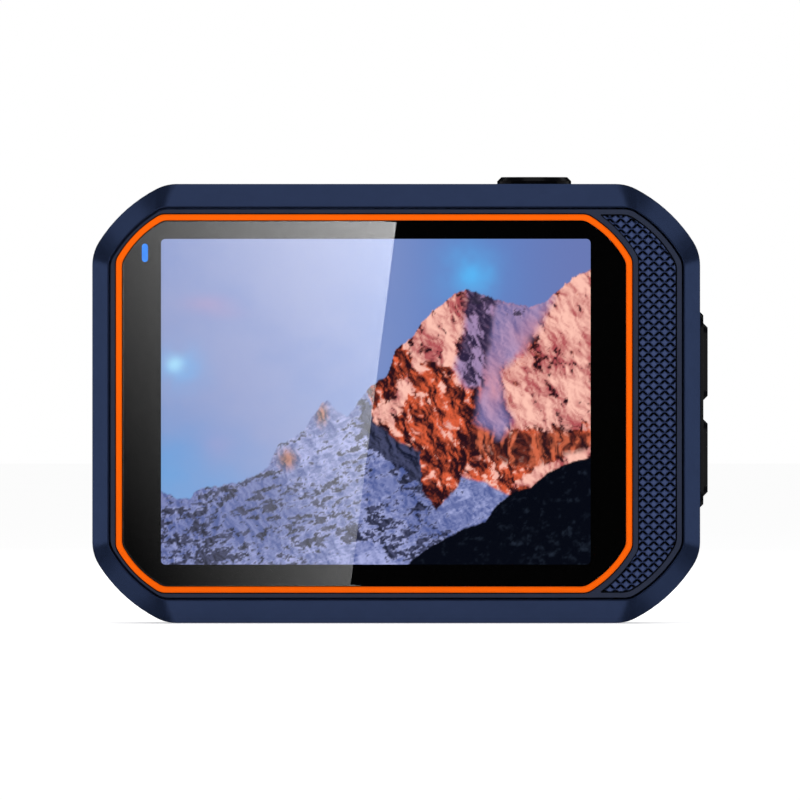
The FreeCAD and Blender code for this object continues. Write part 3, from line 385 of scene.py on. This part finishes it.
def blob(u, v, at_u, at_v, wide, tall):
    return np.exp(-((u - at_u) * PICTURE_SHAPE / wide) ** 2 - ((v - at_v) / tall) ** 2)


def evening_sky(u, v):
    x = u * PICTURE_SHAPE
    clouds = layered(x * 2.2, v * 3.0, 31, 5)
    sky = two_tone((104, 166, 224), (98, 130, 196), smooth(-0.05, 0.75, v + 0.55 * u - 0.12))
    cloudy = smooth(-1.1, 0.5, clouds + 1.2 * (v - 0.5)) * smooth(0.75, 0.3, u)
    sky = paint(sky, linear(142, 154, 200), cloudy)
    sky = paint(sky, linear(112, 112, 164), 0.5 * smooth(0.70, 1.0, u))
    blush = sum(share * blob(u, v, *spot) for share, *spot in CLOUD_BLUSH)
    sky = paint(sky, linear(205, 150, 180), blush)
    ragged = 0.75 + 0.5 * layered(x * 18, v * 18, 36, 3)
    for colour, share, at_u, at_v, wide in GLOWS:
        sky = paint(sky, linear(*colour), share * ragged * blob(u, v, at_u, at_v, wide, wide))
    return sky


def alpine(columns, rows):
    """An alpine sunset as linear colours, in rows from the bottom up."""
    u, v = np.meshgrid(np.linspace(0, 1, columns), np.linspace(0, 1, rows))
    x = u * PICTURE_SHAPE

    # wu, wv and wx are u, v and x shaken by noise, so that the outlines come out ragged.
    drift = layered(x * 14, v * 14, 11, 4, 0.6)
    drift_up = layered(x * 14 + 50, v * 14, 21, 4, 0.6)
    wu = u + 0.012 * drift
    wv = v + 0.014 * drift_up
    wx = x + 0.03 * drift

    # Crags lit from the left, in folds that run down the face.
    crags = layered(wx * 17 + v * 3, v * 12 + 4 * x, 41, 5, 0.66, True)
    lit = -np.gradient(crags, axis=1) - 0.4 * np.gradient(crags, axis=0)
    lit = smooth(-1.6, 1.6, lit / lit.std())
    folds = layered(wx * 40 + v * 18, v * 15, 61, 4, 0.7)
    flecks = layered(wx * 64, v * 52, 71, 3, 0.75)
    broad = layered(x * 6, v * 8, 91, 3)

    # Cold side: snow in blue shade with thin dark rock bands that dip to the right.
    bands = layered((wx + 0.5 * v) * 26, (v - 0.34 * x) * 66, 81, 4, 0.75)
    powder = smooth(-0.35, 0.4, bands + 0.6 * broad)
    snow = two_tone((78, 92, 150), (172, 178, 226), 0.35 * lit + 0.65 * powder)
    bare = 1.3 * bands + 0.6 * flecks + 0.5 * broad - 0.10
    for share, soft, corners in BARE_PATCHES:
        bare = bare + share * zone(corners, wu, wv, soft)
    stone = two_tone((8, 11, 28), (62, 66, 98), lit)
    cold = paint(snow, stone, 0.95 * smooth(0.0, 0.30, bare))

    # Sunlit side: rust rock below, pink snow above and to the right.
    sweeps = layered((x - 0.5 * v) * 10, (v + 0.6 * x) * 24, 101, 4, 0.6)
    bright = 0.35 * lit + 0.60 * smooth(-0.32, 0.36, folds) + 0.3 * flecks
    rock = two_tone((38, 14, 24), (228, 98, 62), smooth(0.10, 0.90, bright))
    bright = 0.30 * lit + 0.45 * smooth(-0.35, 0.35, folds) + 0.35 * smooth(-0.3, 0.3, sweeps)
    pink = two_tone((176, 78, 84), (255, 196, 180), smooth(0.06, 1.02, bright))
    faces = 0.95 * zone(RIGHT_FACE, wu, wv, .03) + 0.9 * zone(SUMMIT_FACE, wu, wv, .02)
    ledges = sum(zone(ledge, wu, wv, .015) for ledge in SNOW_LEDGES)
    snowy = faces + 0.8 * ledges - 0.36 + 0.5 * sweeps
    warm = paint(rock, pink, smooth(-0.10, 0.30, snowy + 0.9 * folds + 0.8 * flecks))
    seams = smooth(-0.25, 0.35, layered(wx * 70 + 3 * v, v * 9, 111, 3, 0.7) + 0.3 * flecks)
    cliffs = two_tone((44, 20, 26), (214, 108, 76), seams)
    warm = paint(warm, cliffs, 0.80 * zone(CLIFFS, wu, wv, .012))

    # Shade beside the summit and down the gully.
    shaded = two_tone((98, 96, 150), (176, 150, 190), 0.5 * lit + 0.5 * smooth(-0.5, 0.6, folds))
    haze = 0.9 * blob(u, v, .87, .70, .06, .05) + 0.7 * blob(u, v, .775, .56, .035, .10)
    shaded = paint(shaded, linear(232, 154, 160), haze * (0.6 + 0.4 * folds))
    warm = paint(warm, shaded, zone(GULLY, wu, wv, .016))
    bright = 0.3 * lit + 0.7 * smooth(-0.25, 0.35, folds + 0.5 * flecks)
    rib = two_tone((46, 36, 66), (160, 138, 182), smooth(0.05, 0.9, bright))
    warm = paint(warm, rib, 0.95 * zone(SUMMIT_SHADE, wu, wv, .012))
    crest = blob(u, v, .735, .82, .05, .03) + 0.7 * blob(u, v, .83, .775, .035, .02)
    warm = paint(warm, linear(44, 38, 58), 0.85 * smooth(-0.1, 0.25, bands + flecks + 1.6 * crest - 1.2))

    sun = smooth(-0.006, 0.006, v - under(SUNLIT_EDGE, wu) + 0.010 * drift_up)
    face = paint(cold, warm, sun)
    shoulder = blob(u, v, .295, .325, .035, .035) + blob(u, v, .375, .46, .022, .04)
    face = paint(face, two_tone((56, 46, 58), (186, 124, 104), lit), 1.3 * shoulder - 0.25)

    # The mountain in front of the sky, and the dark wooded slope in front of it.
    ragged = 0.008 * layered(x * 44, v * 4, 131, 4, 0.6, True) + 0.004 * drift
    view = paint(evening_sky(u, v), face, smooth(-0.003, 0.003, under(SKYLINE, u) + ragged - v))
    trees = layered(x * 60, v * 60, 141, 3, 0.7)
    depth = under(FRONT_SLOPE, u) - v
    wood = two_tone((4, 7, 18), (34, 42, 56), smooth(0.15, 1.1, trees + 0.9 * depth - 0.05))
    return paint(view, wood, smooth(-0.003, 0.003, depth + 0.005 * trees))


# ---- Pieces added to the frame ----
def add_piece(name, mesh, material, body):
    mesh.materials.clear()
    mesh.materials.append(material)
    piece = bpy.data.objects.new(name, mesh)
    bpy.context.scene.collection.objects.link(piece)
    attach(piece, body)


def rounded_rectangle(left, right, low, high, radius, steps=6):
    """Corner points of a rectangle with round corners, in order."""
    centres = [(right - radius, high - radius, 0), (left + radius, high - radius, 90),
               (left + radius, low + radius, 180), (right - radius, low + radius, 270)]
    points = []
    for x, z, start in centres:
        for step in range(steps + 1):
            angle = math.radians(start + 90 * step / steps)
            points.append((x + radius * math.cos(angle), z + radius * math.sin(angle)))
    return points


def outline_of(node, inset):
    """The outline of a flat convex CAD piece seen along Y, drawn in by inset."""
    mesh = frame["nodes"][node].data
    low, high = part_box(node)
    centre = (low + high) / 2
    back = [vertex.co for vertex in mesh.vertices if vertex.co.y > high.y - 0.01 * MM]
    spots = {(round(place.x, 7), round(place.z, 7)) for place in back}
    ordered = sorted(spots, key=lambda spot: math.atan2(spot[1] - centre.z, spot[0] - centre.x))
    return [(x + inset * (1 if x < centre.x else -1), z + inset * (1 if z < centre.z else -1))
            for x, z in ordered]


def flat_sheet(name, loops, y_near, y_far, material, body):
    """A thin sheet in the XZ plane whose outline is the first loop and whose holes are the others."""
    curve = bpy.data.curves.new(name + "_outline", "CURVE")
    curve.dimensions = "2D"
    curve.fill_mode = "BOTH"
    curve.extrude = abs(y_far - y_near) / 2
    for loop in loops:
        spline = curve.splines.new("POLY")
        spline.points.add(len(loop) - 1)
        for point, (x, z) in zip(spline.points, loop):
            point.co = (x, z, 0, 1)
        spline.use_cyclic_u = True
    outline = bpy.data.objects.new(name + "_outline", curve)
    bpy.context.scene.collection.objects.link(outline)
    bpy.context.view_layer.update()
    mesh = bpy.data.meshes.new_from_object(outline.evaluated_get(bpy.context.evaluated_depsgraph_get()))
    bpy.data.objects.remove(outline)
    mesh.name = name
    middle = (y_near + y_far) / 2
    for vertex in mesh.vertices:
        vertex.co = Vector((vertex.co.x, middle - vertex.co.z, vertex.co.y))
    add_piece(name, mesh, material, body)


def make_screen_print(finishes):
    """The black border, with its windows for the picture and for the status light."""
    outer = outline_of("screen_glass", PRINT_INSET)
    window = rounded_rectangle(PICTURE_LEFT, PICTURE_RIGHT, PICTURE_LOW, PICTURE_HIGH, PICTURE_CORNER)
    light = rounded_rectangle(LIGHT_X - LIGHT_HALF_WIDTH, LIGHT_X + LIGHT_HALF_WIDTH,
                              LIGHT_Z - LIGHT_HALF_HEIGHT, LIGHT_Z + LIGHT_HALF_HEIGHT, LIGHT_CORNER)
    near = GLASS_HIGH.y + PRINT_GAP
    flat_sheet("screen_print", [outer, window, light], near, near + PRINT_THICKNESS,
               finishes["screen_border"].material, "camera")


def make_picture():
    """A grid of small faces in front of the display cell, which carries the picture as its colours."""
    columns, rows = ((359, 272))
    view = alpine(columns, rows)
    xs = np.linspace(PICTURE_LEFT - PICTURE_MARGIN, PICTURE_RIGHT + PICTURE_MARGIN, columns)
    zs = np.linspace(PICTURE_LOW - PICTURE_MARGIN, PICTURE_HIGH + PICTURE_MARGIN, rows)
    y = CELL_LOW.y - PICTURE_GAP
    x, z = np.meshgrid(xs, zs)
    vertices = np.stack([x.ravel(), np.full(x.size, y), z.ravel()], axis=1)
    first = (np.arange(rows - 1)[:, None] * columns + np.arange(columns - 1)[None, :]).ravel()
    faces = np.stack([first, first + 1, first + columns + 1, first + columns], axis=1)
    mesh = bpy.data.meshes.new("screen_picture")
    mesh.from_pydata(vertices.tolist(), [], faces.tolist())
    mesh.update()
    layer = mesh.color_attributes.new("picture", "FLOAT_COLOR", "POINT")
    values = np.concatenate([view.reshape(-1, 3), np.ones((rows * columns, 1))], axis=1)
    layer.data.foreach_set("color", values.astype(np.float32).ravel())
    finish = Finish("screen_picture", (0.0, 0.0, 0.0), 0.0, specular=MIRROR_LEVEL)
    colours = finish.node("ShaderNodeVertexColor", layer_name="picture")
    finish.link(colours.outputs["Color"], finish.shader.inputs["Emission Color"])
    finish.shader.inputs["Emission Strength"].default_value = 1.0
    add_piece("screen_picture", mesh, finish.material, "camera")


# ---- Studio ----
def stage_plane(name, corners, material):
    mesh = bpy.data.meshes.new(name)
    mesh.from_pydata(corners, [], [tuple(range(len(corners)))])
    mesh.materials.append(material)
    piece = bpy.data.objects.new(name, mesh)
    bpy.context.scene.collection.objects.link(piece)
    return piece


def reflection_card(name, corners, material):
    """A card that shows only in reflections, so it lights nothing else."""
    card = stage_plane(name, corners, material)
    card.visible_camera = False
    card.visible_diffuse = False
    card.visible_volume_scatter = False
    card.visible_shadow = False
    material.cycles.emission_sampling = "NONE"


def emitter(name, strength):
    material = bpy.data.materials.new(name)
    material.use_nodes = True
    tree = material.node_tree
    tree.nodes.clear()
    light = tree.nodes.new("ShaderNodeEmission")
    light.inputs["Strength"].default_value = strength
    out = tree.nodes.new("ShaderNodeOutputMaterial")
    tree.links.new(light.outputs["Emission"], out.inputs["Surface"])
    return material, tree, light


def area_light(name, place, side, power):
    """A square lamp aimed at the middle of the casing. It isn't seen, not even in a reflection."""
    target = (MIDDLE_X, 0, MIDDLE_Z)
    data = bpy.data.lights.new(name, "AREA")
    data.shape = "RECTANGLE"
    data.size = side
    data.size_y = side
    data.energy = power
    lamp = bpy.data.objects.new(name, data)
    lamp.location = place
    lamp.rotation_euler = (Vector(target) - Vector(place)).to_track_quat("-Z", "Y").to_euler()
    lamp.visible_camera = False
    lamp.visible_glossy = False
    lamp.visible_transmission = False
    bpy.context.scene.collection.objects.link(lamp)


# The view: its width and middle at the rear glass, through a long lens.
VIEW_WIDTH = 76.28 * MM
VIEW_CENTRE = Vector((MIDDLE_X + 0.363 * MM, 0, MIDDLE_Z + 0.334 * MM))
LENS = 1500.0
SENSOR = 36.0
CAMERA_DISTANCE = VIEW_WIDTH * LENS / SENSOR


def make_camera():
    data = bpy.data.cameras.new("photo_camera")
    data.lens = LENS
    data.sensor_width = SENSOR
    data.clip_start = 0.01
    data.clip_end = 20.0
    camera = bpy.data.objects.new("photo_camera", data)
    camera.location = (VIEW_CENTRE.x, GLASS_LOW.y - CAMERA_DISTANCE, VIEW_CENTRE.z)
    camera.rotation_euler = (math.radians(90), 0, 0)
    bpy.context.scene.collection.objects.link(camera)
    bpy.context.scene.camera = camera


# The glare on the rear screen: display brightness = middle + across x + up z, with x and z in metres
# from the middle of the casing. It ends at a slanted edge, given by its x at both ends.
GLARE_MIDDLE = 138 / 255
GLARE_ACROSS = 3.56 / 255 / MM
GLARE_UP = 1.99 / 255 / MM
GLARE_EDGE_LOW = -4.36 * MM
GLARE_EDGE_HIGH = 0.03 * MM
GLARE_HALF_HEIGHT = 17.4 * MM
CARD_DISTANCE = 0.20


def make_glare():
    """A graded card with one slanted edge, which the rear screen mirrors."""
    spread = 1 + CARD_DISTANCE / CAMERA_DISTANCE
    card_y = GLASS_LOW.y - CARD_DISTANCE

    def seen(x, z):
        """The place on the card that the screen mirrors at x, z from the middle of the casing."""
        return (VIEW_CENTRE.x + (MIDDLE_X + x - VIEW_CENTRE.x) * spread, card_y,
                VIEW_CENTRE.z + (MIDDLE_Z + z - VIEW_CENTRE.z) * spread)

    material, tree, light = emitter("glare_card", 1.0)

    def step(operation, *values):
        node = tree.nodes.new("ShaderNodeMath")
        node.operation = operation
        for socket, value in zip(node.inputs, values):
            if isinstance(value, (int, float)):
                socket.default_value = value
            else:
                tree.links.new(value, socket)
        return node.outputs["Value"]

    split = tree.nodes.new("ShaderNodeSeparateXYZ")
    tree.links.new(tree.nodes.new("ShaderNodeTexCoord").outputs["Object"], split.inputs["Vector"])
    start = seen(0, 0)
    across = step("MULTIPLY", step("SUBTRACT", split.outputs["X"], start[0]), GLARE_ACROSS / spread)
    up = step("MULTIPLY", step("SUBTRACT", split.outputs["Z"], start[2]), GLARE_UP / spread)
    shade = step("MAXIMUM", step("ADD", step("ADD", across, up), GLARE_MIDDLE), 0.02)
    tree.links.new(step("DIVIDE", step("POWER", shade, 2.2), GLASS_REFLECTS), light.inputs["Strength"])
    left = GLASS_LOW.x - MIDDLE_X - 1 * MM
    height = GLARE_HALF_HEIGHT
    reflection_card("glare_card", [seen(left, -height), seen(GLARE_EDGE_LOW, -height),
                                   seen(GLARE_EDGE_HIGH, height), seen(left, height)], material)


STRIP_DISTANCE = 0.6
STRIP_NEAR = -0.25       # a strip's two ends in Y
STRIP_FAR = 0.55

# Each kind of strip: width, strength, and the strength of a low one next to that of the others.
SIDE_STRIP = (0.17, 0.84, 1.0)
LEVEL_STRIP = (0.17, 0.92, 0.90)
CORNER_STRIP = (0.19, 0.68, 0.72)


def make_strips():
    """Soft strips above, below and beside the camera and dimmer ones off its corners, for the bevels."""
    for number in range(8):
        angle = math.radians(45 * number)
        kind = CORNER_STRIP if number % 2 == 1 else SIDE_STRIP if number % 4 == 0 else LEVEL_STRIP
        width, strength, low = kind
        out = Vector((math.cos(angle), 0, math.sin(angle)))
        along = Vector((-math.sin(angle), 0, math.cos(angle))) * width / 2
        middle = Vector((MIDDLE_X, 0.0, MIDDLE_Z)) + out * STRIP_DISTANCE
        material, _, _ = emitter("strip", strength * (low if out.z < -0.1 else 1.0))
        near, far = Vector((0, STRIP_NEAR, 0)), Vector((0, STRIP_FAR, 0))
        corners = [middle - along + near, middle + along + near,
                   middle + along + far, middle - along + far]
        reflection_card("strip", [tuple(corner) for corner in corners], material)


BACKDROP_LEVEL = 1.0     # the world as the camera sees it
LIGHT_LEVEL = 0.5        # the world as it lights the scene
MIRRORED_LEVEL = 0.012   # the world in reflections and through glass


def make_world():
    """White behind everything that the camera sees, softer for light, dim in reflections."""
    world = bpy.data.worlds.new("studio")
    bpy.context.scene.world = world
    world.use_nodes = True
    tree = world.node_tree
    sky = tree.nodes["Background"]
    path = tree.nodes.new("ShaderNodeLightPath")
    level = tree.nodes.new("ShaderNodeMix")
    level.inputs["A"].default_value = LIGHT_LEVEL
    level.inputs["B"].default_value = BACKDROP_LEVEL
    tree.links.new(path.outputs["Is Camera Ray"], level.inputs["Factor"])
    dim = tree.nodes.new("ShaderNodeMix")
    dim.inputs["B"].default_value = MIRRORED_LEVEL
    reflected = tree.nodes.new("ShaderNodeMath")
    reflected.operation = "MAXIMUM"
    tree.links.new(path.outputs["Is Glossy Ray"], reflected.inputs[0])
    tree.links.new(path.outputs["Is Transmission Ray"], reflected.inputs[1])
    tree.links.new(reflected.outputs["Value"], dim.inputs["Factor"])
    tree.links.new(level.outputs["Result"], dim.inputs["A"])
    tree.links.new(dim.outputs["Result"], sky.inputs["Strength"])
    sky.inputs["Color"].default_value = (1.0, 1.0, 1.0, 1.0)


FLOOR_REACH = 8.0
FLOOR_LEVEL = -0.05 * MM     # just clear of the base
FLOOR_GLOW = 0.52


def make_floor():
    white = Finish("floor_paper", (0.9, 0.9, 0.9), 0.9, specular=0.0)
    white.mottle(60 * MM, 0.01)
    white.shader.inputs["Emission Color"].default_value = (1.0, 1.0, 1.0, 1.0)
    white.shader.inputs["Emission Strength"].default_value = FLOOR_GLOW
    corners = [(-FLOOR_REACH, -FLOOR_REACH, FLOOR_LEVEL), (FLOOR_REACH, -FLOOR_REACH, FLOOR_LEVEL),
               (FLOOR_REACH, FLOOR_REACH, FLOOR_LEVEL), (-FLOOR_REACH, FLOOR_REACH, FLOOR_LEVEL)]
    floor = stage_plane("floor", corners, white.material)
    floor.visible_glossy = False
    floor.visible_transmission = False


# The square lamps: name, place, side and power.
LAMPS = [("key_light", (-0.45, -0.55, 0.75), 0.5, 3.2),
         ("fill_light", (0.6, -0.6, 0.45), 0.5, 1.4),
         ("front_light", (0.4, 0.8, 0.7), 0.6, 4.0)]


finishes = make_finishes()
dress_frame(finishes)
make_screen_print(finishes)
make_picture()
make_camera()
make_glare()
make_strips()
make_world()
make_floor()
for lamp in LAMPS:
    area_light(*lamp)
bpy.context.scene.view_settings.view_transform = "Standard"
bpy.context.scene.view_settings.look = "None"
